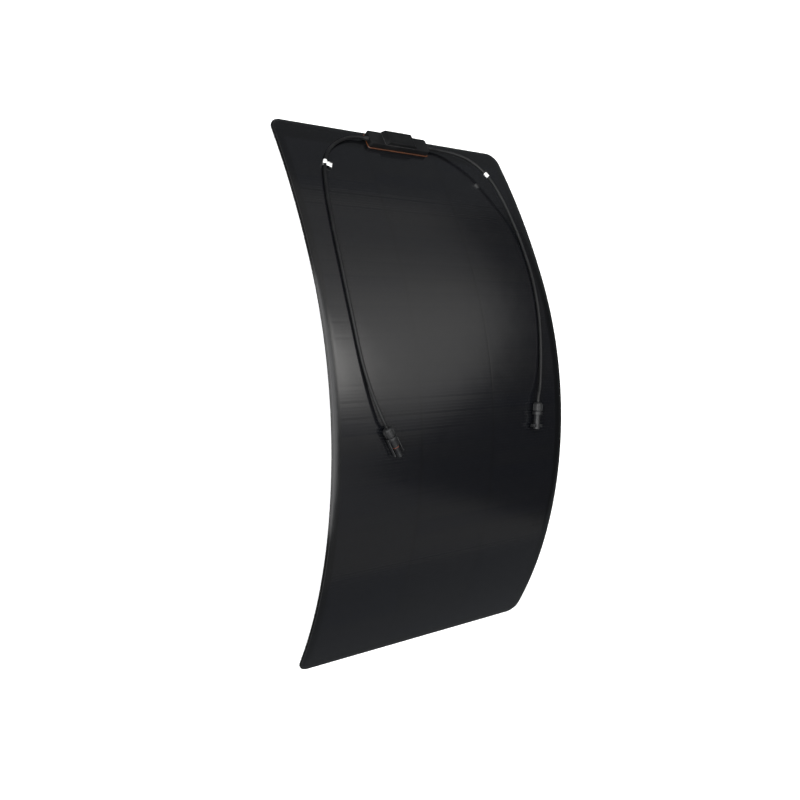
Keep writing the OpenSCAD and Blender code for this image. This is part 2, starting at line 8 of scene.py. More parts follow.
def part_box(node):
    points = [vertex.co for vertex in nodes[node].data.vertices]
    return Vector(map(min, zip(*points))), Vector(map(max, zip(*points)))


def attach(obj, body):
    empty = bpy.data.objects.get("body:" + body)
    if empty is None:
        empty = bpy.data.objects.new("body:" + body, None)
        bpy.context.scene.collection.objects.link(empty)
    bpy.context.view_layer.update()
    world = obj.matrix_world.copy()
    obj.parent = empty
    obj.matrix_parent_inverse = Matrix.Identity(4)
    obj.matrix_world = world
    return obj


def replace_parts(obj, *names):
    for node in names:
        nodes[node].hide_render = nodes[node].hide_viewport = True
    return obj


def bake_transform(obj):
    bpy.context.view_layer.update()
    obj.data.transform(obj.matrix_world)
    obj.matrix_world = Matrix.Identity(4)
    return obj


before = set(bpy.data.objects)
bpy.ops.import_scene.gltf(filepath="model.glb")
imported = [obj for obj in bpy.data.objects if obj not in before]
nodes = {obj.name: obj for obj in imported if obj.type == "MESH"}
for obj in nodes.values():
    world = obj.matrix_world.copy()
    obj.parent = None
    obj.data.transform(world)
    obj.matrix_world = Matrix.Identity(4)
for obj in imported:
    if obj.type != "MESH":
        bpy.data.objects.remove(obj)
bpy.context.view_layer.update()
scene = bpy.context.scene
print("frame loaded,", len(nodes), "nodes")

# the bent sheet, in metres: s runs along the underside from the box end
sheetBend = {
    "width": 0.540, "length": 1.050, "thickness": 0.0025, "cornerRadius": 0.024,
    "boxEndRadius": 1.400, "mainRadius": 0.760, "change": 0.317,
    "boardThickness": 0.0011,
}


def upAt(angle):
    return Vector((math.sin(angle), math.cos(angle)))


def bendSums():
    # slopes at the box end and at the change of bend, and the centres of both arcs
    r1, r2 = sheetBend["boxEndRadius"], sheetBend["mainRadius"]
    turn1 = sheetBend["change"] / r1
    turn2 = (sheetBend["length"] - sheetBend["change"]) / r2
    chord = r1 * (upAt(-turn1) - upAt(0)) + r2 * (upAt(-turn1 - turn2) - upAt(-turn1))
    first = math.atan2(-chord.y, -chord.x)
    centre1 = -r1 * upAt(first)
    return first, first - turn1, centre1, centre1 + (r1 - r2) * upAt(first - turn1)


startSlope, changeSlope, boxArcCentre, mainArcCentre = bendSums()


def slopeAt(s):
    # angle of the sheet above level, met on the way from the box end
    if s < sheetBend["change"]:
        return startSlope - s / sheetBend["boxEndRadius"]
    return changeSlope - (s - sheetBend["change"]) / sheetBend["mainRadius"]


def arcPoint(s, h):
    if s < sheetBend["change"]:
        return boxArcCentre + (sheetBend["boxEndRadius"] + h) * upAt(slopeAt(s))
    return mainArcCentre + (sheetBend["mainRadius"] + h) * upAt(slopeAt(s))


# the CAD board's own end says how far the bend is moved along Y
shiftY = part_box("backing_board")[1].y - arcPoint(0, sheetBend["boardThickness"]).x


def sheetPoint(x, s, h):
    place = arcPoint(s, h)
    return Vector((x, place.x + shiftY, place.y))


def faceNormal(s):
    return Vector((0, math.sin(slopeAt(s)), math.cos(slopeAt(s))))


def boxward(s):
    # along the face, towards the box end
    return Vector((0, math.cos(slopeAt(s)), -math.sin(slopeAt(s))))


def faceFrame(x, s, lift=0.0, turn=0.0):
    # X across, Y towards the box end, Z off the face
    basis = Matrix((Vector((1, 0, 0)), boxward(s), faceNormal(s))).transposed().to_4x4()
    at = Matrix.Translation(sheetPoint(x, s, sheetBend["thickness"] + lift))
    return at @ basis @ Matrix.Rotation(turn, 4, "Z")


# camera
cameraView = {
    "middle": 0.525, "across": -0.1310, "along": -0.01145, "turn": 0.6334, "lift": 0.0053,
    "roll": -0.0643, "distance": 1.3878, "lens": 36.455,
}


def makeCamera():
    # the camera looks square at the middle of the face, turned and rolled by small angles
    view = cameraView
    basis = Matrix((Vector((1, 0, 0)), -faceNormal(view["middle"]), boxward(view["middle"])))
    basis = basis.transposed()
    back = Vector((-math.sin(view["turn"]) * math.cos(view["lift"]),
                   -math.cos(view["turn"]) * math.cos(view["lift"]), math.sin(view["lift"])))
    right = (-back).cross(Vector((0, 0, 1))).normalized()
    up = right.cross(-back)
    turned = Matrix.Rotation(view["roll"], 3, back)
    axes = Matrix((turned @ right, turned @ up, back)).transposed()
    aim = sheetPoint(0, view["middle"], sheetBend["thickness"])
    aim += basis @ Vector((view["across"], 0, view["along"]))
    camera = bpy.data.objects.new("camera", bpy.data.cameras.new("camera"))
    scene.collection.objects.link(camera)
    camera.data.lens = view["lens"]
    camera.data.clip_start = 0.02
    camera.data.clip_end = 40
    camera.matrix_world = Matrix.Translation(aim + view["distance"] * (basis @ back)) \
        @ (basis @ axes).to_4x4()
    scene.camera = camera


makeCamera()
print("camera made")

# leads: x across, s along, height of the centre line over the face
leads = {
    "diameter": 0.006, "boxS": 0.021, "bushFace": 0.082, "exitHeight": 0.0063,
    "approach": (-0.014, -0.004, 0.004, 0.013),
}
leadLeft = {
    "side": -1, "place": (-0.154, 0.606, 0.0096, math.radians(29)), "length": 0.058,
    "route": [
        (-0.096, 0.0215, 0.0061), (-0.112, 0.025, 0.0054), (-0.128, 0.032, 0.0048),
        (-0.143, 0.041, 0.0043), (-0.157, 0.052, 0.004), (-0.169, 0.064, 0.0039),
        (-0.179, 0.078, 0.0039), (-0.187, 0.094, 0.0039), (-0.193, 0.112, 0.0039),
        (-0.198, 0.134, 0.0036), (-0.203, 0.162, 0.0032), (-0.207, 0.195, 0.0032),
        (-0.210, 0.232, 0.0032), (-0.212, 0.272, 0.0032), (-0.213, 0.315, 0.0032),
        (-0.213, 0.358, 0.0032), (-0.211, 0.400, 0.0032), (-0.208, 0.440, 0.0033),
        (-0.203, 0.476, 0.0039), (-0.196, 0.508, 0.0054), (-0.187, 0.538, 0.0076),
    ],
}
leadRight = {
    "side": 1, "place": (0.191, 0.584, 0.0096, math.radians(-6)), "length": 0.052,
    "route": [
        (0.096, 0.0215, 0.0064), (0.112, 0.024, 0.0078), (0.128, 0.028, 0.0101),
        (0.144, 0.034, 0.0126), (0.159, 0.042, 0.0146), (0.173, 0.053, 0.0159),
        (0.185, 0.066, 0.0164), (0.195, 0.081, 0.0166), (0.203, 0.098, 0.0162),
        (0.211, 0.120, 0.0144), (0.220, 0.148, 0.011), (0.228, 0.180, 0.0074),
        (0.234, 0.215, 0.0048), (0.237, 0.252, 0.0035), (0.238, 0.292, 0.0032),
        (0.236, 0.334, 0.0032), (0.232, 0.376, 0.0032), (0.226, 0.418, 0.0033),
        (0.219, 0.458, 0.0039), (0.211, 0.496, 0.0056), (0.203, 0.528, 0.0079),
    ],
}


def connectorFrame(lead):
    # X along the connector's axis to its tip, from the rear of its nut; Z off the face
    x, s, height, heading = lead["place"]
    return faceFrame(x, s, height, heading - math.pi / 2) \
        @ Matrix.Translation((-lead["length"] / 2, 0, 0))


def makeLead(name, lead):
    thickness = sheetBend["thickness"]
    line = [sheetPoint(lead["side"] * leads["bushFace"], leads["boxS"],
                       thickness + leads["exitHeight"])]
    line += [sheetPoint(x, s, thickness + h) for x, s, h in lead["route"]]
    line += [connectorFrame(lead) @ Vector((d, 0, 0)) for d in leads["approach"]]
    curve = bpy.data.curves.new(name, "CURVE")
    curve.dimensions = "3D"
    curve.bevel_depth = leads["diameter"] / 2
    curve.bevel_resolution = 6
    curve.resolution_u = 8
    curve.use_fill_caps = True
    spline = curve.splines.new("BEZIER")
    spline.bezier_points.add(len(line) - 1)
    for i, point in enumerate(spline.bezier_points):
        pull = (line[min(i + 1, len(line) - 1)] - line[max(i - 1, 0)]) / 6
        point.co = line[i]
        point.handle_left = line[i] - pull
        point.handle_right = line[i] + pull
    piece = bpy.data.objects.new(name, curve)
    scene.collection.objects.link(piece)
    return piece, line[0]


leftCord, leftExit = makeLead("leftLead", leadLeft)
rightCord, rightExit = makeLead("rightLead", leadRight)
print("leads made")

# materials
class Signal:
    # a node's output that takes part in sums
    def __init__(self, finish, socket):
        self.finish = finish
        self.socket = socket

    def __add__(self, other):
        return self.finish.sum("ADD", self, other)

    __radd__ = __add__

    def __sub__(self, other):
        return self.finish.sum("SUBTRACT", self, other)

    def __rsub__(self, other):
        return self.finish.sum("SUBTRACT", other, self)

    def __mul__(self, other):
        return self.finish.sum("MULTIPLY", self, other)

    __rmul__ = __mul__

    def __truediv__(self, other):
        return self.finish.sum("DIVIDE", self, other)

    def __lt__(self, other):
        return self.finish.sum("LESS_THAN", self, other)

    def __gt__(self, other):
        return self.finish.sum("GREATER_THAN", self, other)

    def __abs__(self):
        return self.finish.sum("ABSOLUTE", self)


class Finish:
    # a material: node() adds any node, surface() feeds the shader
    def __init__(self, name):
        self.material = bpy.data.materials.new(name)
        self.material.use_nodes = True
        self.tree = self.material.node_tree
        self.shader = self.tree.nodes["Principled BSDF"]

    def feed(self, socket, value):
        if isinstance(value, Signal):
            self.tree.links.new(value.socket, socket)
        else:
            socket.default_value = value

    def node(self, kind, settings=None, values=None, output=0):
        made = self.tree.nodes.new(kind)
        for key, setting in (settings or {}).items():
            if key == "stops":
                for i, (place, colour) in enumerate(setting):
                    stops = made.color_ramp.elements
                    stop = stops[i] if i < 2 else stops.new(place)
                    stop.position = place
                    stop.color = colour
            else:
                setattr(made, key, setting)
        for key, value in (values or {}).items():
            self.feed(made.inputs[key], value)
        return Signal(self, made.outputs[output])

    def sum(self, operation, *terms):
        return self.node("ShaderNodeMath", {"operation": operation}, dict(enumerate(terms)))

    def mix(self, share, first, second):
        return self.node("ShaderNodeMix", {"data_type": "RGBA"},
                         {0: share, 6: first, 7: second}, output=2)

    def place(self):
        return self.node("ShaderNodeTexCoord", output=3)

    def grain(self, place, scale, detail=3.0, roughness=0.5):
        return self.node("ShaderNodeTexNoise", None, {
            "Vector": place, "Scale": scale, "Detail": detail, "Roughness": roughness})

    def bump(self, height, distance, strength=1.0):
        return self.node("ShaderNodeBump", None, {
            "Height": height, "Distance": distance, "Strength": strength})

    def surface(self, **sockets):
        level = sockets.pop("specular", 0.5)
        self.shader.inputs["Specular IOR Level"].default_value = level
        for name, value in sockets.items():
            spaced = "".join(" " + c if c.isupper() else c for c in name).strip()
            self.feed(self.shader.inputs[spaced], value)
        return self.material


# moulded, rubber and metal finishes: colour, how much it varies, roughness, grain size
plainFinishes = {
    "boxPlastic": {"colour": (0.0040, 0.0042, 0.0046, 1), "worn": (0.0075, 0.0078, 0.0082, 1),
                   "rough": (0.42, 0.58), "specular": 0.25, "grain": 2600, "depth": 0.00006},
    "lidPlastic": {"colour": (0.0034, 0.0036, 0.0040, 1), "worn": (0.0065, 0.0068, 0.0072, 1),
                   "rough": (0.38, 0.54), "specular": 0.25, "grain": 2600, "depth": 0.00005},
    "housingPlastic": {"colour": (0.0070, 0.0073, 0.0080, 1), "worn": (0.014, 0.0145, 0.0155, 1),
                       "rough": (0.34, 0.50), "specular": 0.35, "grain": 3200, "depth": 0.00004},
    "nutPlastic": {"colour": (0.0090, 0.0094, 0.0100, 1), "worn": (0.018, 0.0185, 0.019, 1),
                   "rough": (0.42, 0.58), "specular": 0.35, "grain": 3200, "depth": 0.00005},
    "jacketRubber": {"colour": (0.0050, 0.0052, 0.0056, 1), "worn": (0.0100, 0.0102, 0.0106, 1),
                     "rough": (0.40, 0.56), "specular": 0.25, "grain": 1400, "depth": 0.00005},
    "bushRubber": {"colour": (0.0070, 0.0070, 0.0074, 1), "worn": (0.014, 0.014, 0.014, 1),
                   "rough": (0.55, 0.72), "specular": 0.3, "grain": 1800, "depth": 0.00006},
    "gasketRubber": {"colour": (0.030, 0.030, 0.031, 1), "worn": (0.050, 0.049, 0.048, 1),
                     "rough": (0.60, 0.80), "grain": 1500, "depth": 0.00008},
    "oringRubber": {"colour": (0.120, 0.030, 0.016, 1), "worn": (0.160, 0.045, 0.025, 1),
                    "rough": (0.35, 0.50), "grain": 1500, "depth": 0.00003},
    "markerPlastic": {"colour": (0.80, 0.80, 0.79, 1), "worn": (0.66, 0.66, 0.64, 1),
                      "rough": (0.36, 0.52), "grain": 900, "depth": 0.00004},
    "diodeEpoxy": {"colour": (0.010, 0.010, 0.011, 1), "worn": (0.02, 0.02, 0.02, 1),
                   "rough": (0.40, 0.55), "grain": 2000, "depth": 0.00003},
}
metalFinishes = {
    "tinnedRibbon": {"colour": (0.62, 0.63, 0.65, 1), "dull": (0.45, 0.46, 0.48, 1),
                     "rough": (0.28, 0.42)},
    "terminalBrass": {"colour": (0.80, 0.52, 0.26, 1), "dull": (0.58, 0.36, 0.18, 1),
                      "rough": (0.26, 0.42)},
    "silverContact": {"colour": (0.86, 0.86, 0.85, 1), "dull": (0.66, 0.65, 0.62, 1),
                      "rough": (0.14, 0.30)},
}


def plainFinish(name):
    # moulding grain, a little wear in noise patches, and uneven gloss
    says = plainFinishes[name]
    finish = Finish(name)
    place = finish.place()
    patches = finish.grain(place, 38, 4, 0.6)
    fine = finish.grain(place, says["grain"], 2)
    wear = finish.node("ShaderNodeMapRange", None, {0: patches, 1: 0.45, 2: 0.75})
    low, high = says["rough"]
    return finish.surface(
        BaseColor=finish.mix(wear, says["colour"], says["worn"]),
        specular=says.get("specular", 0.5),
        Roughness=low + (high - low) * patches,
        Normal=finish.bump(fine + 0.4 * patches, says["depth"]))


def metalFinish(name):
    says = metalFinishes[name]
    finish = Finish(name)
    place = finish.place()
    stretched = finish.node("ShaderNodeMapping", None, {0: place, 3: (60, 900, 900)})
    drawn = finish.grain(stretched, 1, 3)
    tarnish = finish.grain(place, 120, 3)
    low, high = says["rough"]
    return finish.surface(
        BaseColor=finish.mix(tarnish, says["colour"], says["dull"]), Metallic=1.0,
        Roughness=low + (high - low) * tarnish, Normal=finish.bump(drawn, 0.00001))


# the thin lighter line at the border's inner edge is a painted highlight, standing in for light caught on the
# film's step there
faceLook = {
    "cell": (0.0034, 0.0037, 0.0050, 1), "cellOther": (0.0042, 0.0044, 0.0052, 1),
    "gap": (0.0031, 0.0033, 0.0038, 1), "line": (0.0135, 0.0142, 0.0152, 1),
    "border": (0.0014, 0.0014, 0.0015, 1), "seam": (0.0200, 0.0205, 0.0210, 1),
    "borderEdgeInset": 0.0040, "highlightHalf": 0.0005,
    "boxMargin": 0.042, "stripPitch": 0.0275, "linePitch": 0.0055, "sideMargin": 0.018,
    "cellWidth": 0.166, "stringPitch": 0.169, "lineHalf": 0.00022, "slitHalf": 0.0005,
    "farEnd": 1.032, "rough": (0.13, 0.20),
}


def distanceToLines(finish, place, pitch):
    # distance to the nearest of the lines that repeat at a pitch
    turns = place / pitch
    return pitch * abs(finish.sum("FRACT", turns + 0.5) - 0.5)


def distanceInside(finish, across, along):
    # distance in from the rounded outline
    radius = sheetBend["cornerRadius"]
    x = abs(across) - (sheetBend["width"] / 2 - radius)
    y = abs(along - sheetBend["length"] / 2) - (sheetBend["length"] / 2 - radius)
    outX, outY = finish.sum("MAXIMUM", x, 0.0), finish.sum("MAXIMUM", y, 0.0)
    corner = finish.sum("SQRT", outX * outX + outY * outY)
    return radius - corner - finish.sum("MINIMUM", finish.sum("MAXIMUM", x, y), 0.0)


def faceFinish():
    # cell strips under a clear film, from the piece's own place attribute: x across, s along
    says = faceLook
    finish = Finish("frontFilm")
    spot = finish.node("ShaderNodeAttribute", {"attribute_name": "sheetPlace"}, output=1)
    parts = finish.tree.nodes.new("ShaderNodeSeparateXYZ")
    finish.feed(parts.inputs[0], spot)
    across = Signal(finish, parts.outputs[0])
    along = Signal(finish, parts.outputs[1])
    fromStart = along - says["boxMargin"]
    fine = distanceToLines(finish, fromStart, says["linePitch"])
    slit = distanceToLines(finish, fromStart, says["stripPitch"])
    fromMiddle = distanceToLines(finish, across, says["stringPitch"])
    inString = fromMiddle < says["cellWidth"] / 2
    inRows = (fromStart > 0) * (along < says["farEnd"])
    inWidth = abs(across) < sheetBend["width"] / 2 - says["sideMargin"]
    inCell = inString * inRows * inWidth
    strip = finish.sum("FLOOR", fromStart / says["stripPitch"])
    string = finish.sum("FLOOR", across / says["stringPitch"] + 0.5)
    tone = finish.node("ShaderNodeTexWhiteNoise", {"noise_dimensions": "2D"}, {
        "Vector": finish.node("ShaderNodeCombineXYZ", None, {0: strip, 1: string})})
    cell = finish.mix(tone, says["cell"], says["cellOther"])
    body = finish.mix(inCell * (1 - (slit < says["slitHalf"])), says["gap"], cell)
    colour = finish.mix((fine < says["lineHalf"]) * inCell, body, says["line"])
    inside = distanceInside(finish, across, along)
    colour = finish.mix(inside < says["borderEdgeInset"], colour, says["border"])
    # painted highlight: a thin lighter line along the border's inner edge
    colour = finish.mix(abs(inside - says["borderEdgeInset"]) < says["highlightHalf"], colour, says["seam"])
    haze = finish.grain(spot, 26, 4, 0.6)
    emboss = finish.grain(spot, 1900, 2)
    swell = finish.grain(spot, 9, 2)
    low, high = says["rough"]
    return finish.surface(
        BaseColor=colour, Roughness=low + (high - low) * haze,
        Normal=finish.bump(emboss * 0.02 + swell, 0.0010, 0.3))


def boardFinish():
    # black glass-fibre board: a faint woven grain and dull gloss
    finish = Finish("glassBoard")
    spot = finish.node("ShaderNodeAttribute", {"attribute_name": "sheetPlace"}, output=1)
    weave = finish.node("ShaderNodeTexChecker", None, {"Vector": spot, "Scale": 900})
    blotch = finish.grain(spot, 30, 4, 0.6)
    fine = finish.grain(spot, 2200, 2)
    return finish.surface(
        BaseColor=finish.mix(blotch, (0.010, 0.0105, 0.011, 1), (0.019, 0.0195, 0.020, 1)),
        Roughness=0.42 + 0.2 * blotch,
        Normal=finish.bump(weave * 0.3 + fine, 0.00005))


def sealantFinish():
    # skinned-over sealant, lumpy and a little glossy
    finish = Finish("sealant")
    place = finish.place()
    lumps = finish.grain(place, 260, 3)
    pools = finish.grain(place, 70, 3)
    return finish.surface(
        BaseColor=finish.mix(pools, (0.038, 0.010, 0.002, 1), (0.085, 0.025, 0.006, 1)),
        Roughness=0.26 + 0.22 * pools, Normal=finish.bump(lumps, 0.0003))


finishes = {name: plainFinish(name) for name in plainFinishes}
finishes.update({name: metalFinish(name) for name in metalFinishes})
finishes["frontFilm"] = faceFinish()
finishes["glassBoard"] = boardFinish()
finishes["sealant"] = sealantFinish()
print("materials made,", len(finishes))


# shared steps for the pieces
def bevelEdges(bm, edges, width, segments=2):
    bmesh.ops.bevel(bm, geom=edges, offset=width, segments=segments, profile=0.5,
                    affect="EDGES", material=-1, clamp_overlap=True)


def sharpEdges(bm, angle=math.radians(32)):
    return [e for e in bm.edges if len(e.link_faces) == 2 and e.calc_face_angle(0) > angle]


def everything(bm):
    return bm.verts[:] + bm.edges[:] + bm.faces[:]


def makePiece(name, bm, finish, smoothAngle=math.radians(40)):
    mesh = bpy.data.meshes.new(name)
    bm.to_mesh(mesh)
    bm.free()
    mesh.polygons.foreach_set("use_smooth", [True] * len(mesh.polygons))
    mesh.set_sharp_from_angle(angle=smoothAngle)
    mesh.materials.append(finishes[finish])
    piece = bpy.data.objects.new(name, mesh)
    scene.collection.objects.link(piece)
    return piece


def softCopy(name, node, width, finish, body, segments=2):
    # the CAD piece with rounded edges
    bm = bmesh.new()
    bm.from_mesh(nodes[node].data)
    bmesh.ops.remove_doubles(bm, verts=bm.verts, dist=1e-6)
    bmesh.ops.dissolve_limit(bm, angle_limit=math.radians(1), verts=bm.verts, edges=bm.edges)
    bevelEdges(bm, sharpEdges(bm), width, segments)
    piece = makePiece(name, bm, finish)
    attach(piece, body)
    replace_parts(piece, node)
    return piece


def addLathe(bm, profile, soft=0.0002, steps=56):
    # turns a closed profile of (along, radius) points round the X axis
    verts = [bm.verts.new((x, r, 0)) for x, r in profile]
    edges = [bm.edges.new(pair) for pair in zip(verts, verts[1:] + verts[:1])]
    rounded = bmesh.ops.bevel(bm, geom=verts, offset=soft, segments=2, profile=0.5,
                              affect="VERTICES", material=-1, clamp_overlap=True)
    rim = set(e for e in edges if e.is_valid)
    rim.update(e for v in rounded["verts"] if v.is_valid for e in v.link_edges)
    points = {v for e in rim for v in e.verts}
    bmesh.ops.spin(bm, geom=list(points) + list(rim), cent=(0, 0, 0), axis=(1, 0, 0),
                   dvec=(0, 0, 0), angle=2 * math.pi, steps=steps, use_merge=True)


def lathePiece(name, profile, place, finish, soft=0.0002, steps=56):
    bm = bmesh.new()
    addLathe(bm, profile, soft, steps)
    bmesh.ops.remove_doubles(bm, verts=bm.verts, dist=1e-6)
    bmesh.ops.recalc_face_normals(bm, faces=bm.faces)
    bmesh.ops.transform(bm, matrix=place, verts=bm.verts)
    return makePiece(name, bm, finish)


def addBlock(bm, low, high, place, soft=0.0003):
    # a rounded block between two corners
    size = [b - a for a, b in zip(low, high)]
    middle = [(a + b) / 2 for a, b in zip(low, high)]
    made = bmesh.ops.create_cube(bm, size=1)["verts"]
    bmesh.ops.scale(bm, vec=size, verts=made)
    bmesh.ops.translate(bm, vec=middle, verts=made)
    bmesh.ops.transform(bm, matrix=place, verts=made)
    edges = list({e for v in made for e in v.link_edges})
    bevelEdges(bm, edges, soft, 2)


# laminate: flat layers are cut, given a wall and bent; flat Y is minus the distance s
laminateLook = {
    "cornerCuts": 14, "groove": 0.000014, "ridge": 0.000006, "borderInset": 0.0040,
    "borderDrop": 0.00012, "blendFrom": 0.674, "blendTo": 0.950, "row": 0.0055,
    "edgeSoft": 0.00025, "faceDepth": 0.0008, "boardTop": 0.0011, "filmsTop": 0.0017,
}


def cutAt(bm, point, normal, clear=False):
    return bmesh.ops.bisect_plane(bm, geom=everything(bm), plane_co=point, plane_no=normal,
                                  clear_outer=clear)


def flatSheet(inset=0.0):
    # the sheet's outline with its rounded corners, one face
    bm = bmesh.new()
    width, length = sheetBend["width"], sheetBend["length"]
    radius = sheetBend["cornerRadius"] - inset
    bmesh.ops.create_grid(bm, x_segments=1, y_segments=1, size=0.5)
    bmesh.ops.scale(bm, vec=(width - 2 * inset, length - 2 * inset, 1), verts=bm.verts)
    bmesh.ops.translate(bm, vec=(0, -length / 2, 0), verts=bm.verts)
    bmesh.ops.bevel(bm, geom=bm.verts[:], offset=radius, segments=laminateLook["cornerCuts"],
                    profile=0.5, affect="VERTICES", material=-1)
    return bm


def cutRows(bm, rows, columns=()):
    for s in rows:
        cutAt(bm, (0, -s, 0), (0, 1, 0))
    for x in columns:
        cutAt(bm, (x, 0, 0), (1, 0, 0))


def bendSheet(bm):
    # keeps each point's flat place for the materials, then lays it on the bend
    layer = bm.verts.layers.float_vector.new("sheetPlace")
    for v in bm.verts:
        v[layer] = (v.co.x, -v.co.y, v.co.z)
        v.co = sheetPoint(v.co.x, -v.co.y, v.co.z)


def blendSheet(piece):
    middle = sheetBend["thickness"] / 2
    sheetPoint(0, laminateLook["blendFrom"], middle)
    sheetPoint(0, laminateLook["blendTo"], middle)
    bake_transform(piece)


def layerPiece(name, low, high, finish, slot, *replaced):
    # a plain layer of the laminate between two heights
    bm = flatSheet()
    count = round(sheetBend["length"] / (2 * laminateLook["row"]))
    cutRows(bm, [i * sheetBend["length"] / count for i in range(1, count)])
    bmesh.ops.translate(bm, vec=(0, 0, high), verts=bm.verts)
    wall = bmesh.ops.extrude_face_region(bm, geom=bm.faces[:])
    moved = [v for v in wall["geom"] if isinstance(v, bmesh.types.BMVert)]
    bmesh.ops.translate(bm, vec=(0, 0, low - high), verts=moved)
    bmesh.ops.recalc_face_normals(bm, faces=bm.faces)
    bevelEdges(bm, sharpEdges(bm), laminateLook["edgeSoft"], 2)
    bendSheet(bm)
    piece = makePiece(name, bm, finish)
    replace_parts(piece, *replaced)
    blendSheet(piece)
    return piece


def faceRelief(x, s):
    # how far the film sinks between strips and rises over the finger lines
    look, says = laminateLook, faceLook
    fromStart = s - says["boxMargin"]
    if not 0 <= fromStart <= says["farEnd"] - says["boxMargin"]:
        return 0.0
    off = abs(x) - round(abs(x) / says["stringPitch"]) * says["stringPitch"]
    if abs(off) > says["cellWidth"] / 2 + 1e-5:
        return -look["groove"]
    slit = abs(fromStart / says["stripPitch"] - round(fromStart / says["stripPitch"]))
    fine = abs(fromStart / says["linePitch"] - round(fromStart / says["linePitch"]))
    if slit * says["stripPitch"] < says["slitHalf"] / 2:
        return -look["groove"]
    if slit * says["stripPitch"] > 2 * says["slitHalf"] and fine < 0.01:
        return look["ridge"]
    return 0.0


def makeFrontFace():
    says, look = faceLook, laminateLook
    bm = flatSheet()
    bmesh.ops.inset_region(bm, faces=bm.faces[:], thickness=look["borderInset"], depth=0)
    rows = []
    fineCount = round((says["farEnd"] - says["boxMargin"]) / says["linePitch"])
    perStrip = round(says["stripPitch"] / says["linePitch"])
    for i in range(fineCount + 1):
        s = says["boxMargin"] + i * says["linePitch"]
        half = says["slitHalf"] if i % perStrip == 0 else 1.6 * says["lineHalf"]
        rows += [s - half, s, s + half]
    rows += [i * says["boxMargin"] / 6 for i in range(1, 6)]
    halfCell = says["cellWidth"] / 2
    columns = [k * says["stringPitch"] + side * (halfCell + gap)
               for k in (-1, 0, 1) for side in (-1, 1) for gap in (-0.003, 0.0, 0.0006)]
    cutRows(bm, rows, columns)
    bmesh.ops.translate(bm, vec=(0, 0, sheetBend["thickness"]), verts=bm.verts)
    top = bm.faces[:]
    wall = bmesh.ops.extrude_face_region(bm, geom=top)["geom"]
    down = [v for v in wall if isinstance(v, bmesh.types.BMVert)]
    bmesh.ops.translate(bm, vec=(0, 0, -look["faceDepth"]), verts=down)
    bmesh.ops.recalc_face_normals(bm, faces=bm.faces)
    for v in {v for f in top if f.is_valid for v in f.verts}:
        onRim = any(len(e.link_faces) < 2 or e.calc_face_angle(0) > 1 for e in v.link_edges)
        v.co.z += -look["borderDrop"] if onRim else faceRelief(v.co.x, -v.co.y)
    rim = [e for e in bm.edges if e.is_valid and len(e.link_faces) == 2
           and e.calc_face_angle(0) > math.radians(60)]
    bevelEdges(bm, [e for e in rim if max(v.co.z for v in e.verts) > 0.0022],
               look["edgeSoft"], 3)
    bendSheet(bm)
    piece = makePiece("frontFace", bm, "frontFilm", math.radians(50))
    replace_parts(piece, "front_film", "front_film_far", "front_encapsulant",
                "front_encapsulant_far", "cells_left", "cells_middle", "cells_right",
                "cells_left_far", "cells_middle_far", "cells_right_far", "box_end_ribbon",
                "far_end_ribbon")
    blendSheet(piece)
    return piece


makeFrontFace()
print("front face made")
layerPiece("rearFilms", laminateLook["boardTop"], laminateLook["filmsTop"], "glassBoard",
           "insulation", "insulation_film", "insulation_film_far", "rear_encapsulant", "rear_encapsulant_far",
           "return_ribbon", "return_ribbon_far")
layerPiece("backBoard", 0.0, laminateLook["boardTop"], "glassBoard", "backing", "backing_board",
           "backing_board_far")
print("board layers made")

# junction box
boxLook = {
    "s": 0.021, "pad": 0.0008, "width": 0.140, "depth": 0.032, "corner": 0.004,
    "beadWidth": 0.0025, "beadHeight": 0.0016, "baseSoft": 0.0007, "lidSoft": 0.0008,
    "panelInset": 0.003, "panelDrop": 0.0004, "bushLength": 0.012, "bushStart": 0.070,
    "cableHeight": 0.0055,
}
boxFrame = faceFrame(0, boxLook["s"], boxLook["pad"])


def makeLid():
    bm = bmesh.new()
    bm.from_mesh(nodes["box_lid"].data)
    bmesh.ops.remove_doubles(bm, verts=bm.verts, dist=1e-6)
    bmesh.ops.dissolve_limit(bm, angle_limit=math.radians(1), verts=bm.verts, edges=bm.edges)
    bmesh.ops.transform(bm, matrix=boxFrame.inverted(), verts=bm.verts)
    bevelEdges(bm, sharpEdges(bm), boxLook["lidSoft"], 3)
    highest = max(f.calc_center_median().z for f in bm.faces)
    top = [f for f in bm.faces if f.calc_center_median().z > highest - 1e-5
           and f.normal.z > 0.99]
    bmesh.ops.inset_region(bm, faces=top, thickness=boxLook["panelInset"], depth=0)
    bmesh.ops.inset_region(bm, faces=top, thickness=0.0005, depth=-boxLook["panelDrop"])
    bmesh.ops.transform(bm, matrix=boxFrame, verts=bm.verts)
    piece = makePiece("boxLid", bm, "lidPlastic")
    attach(piece, "lid")
    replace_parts(piece, "box_lid")


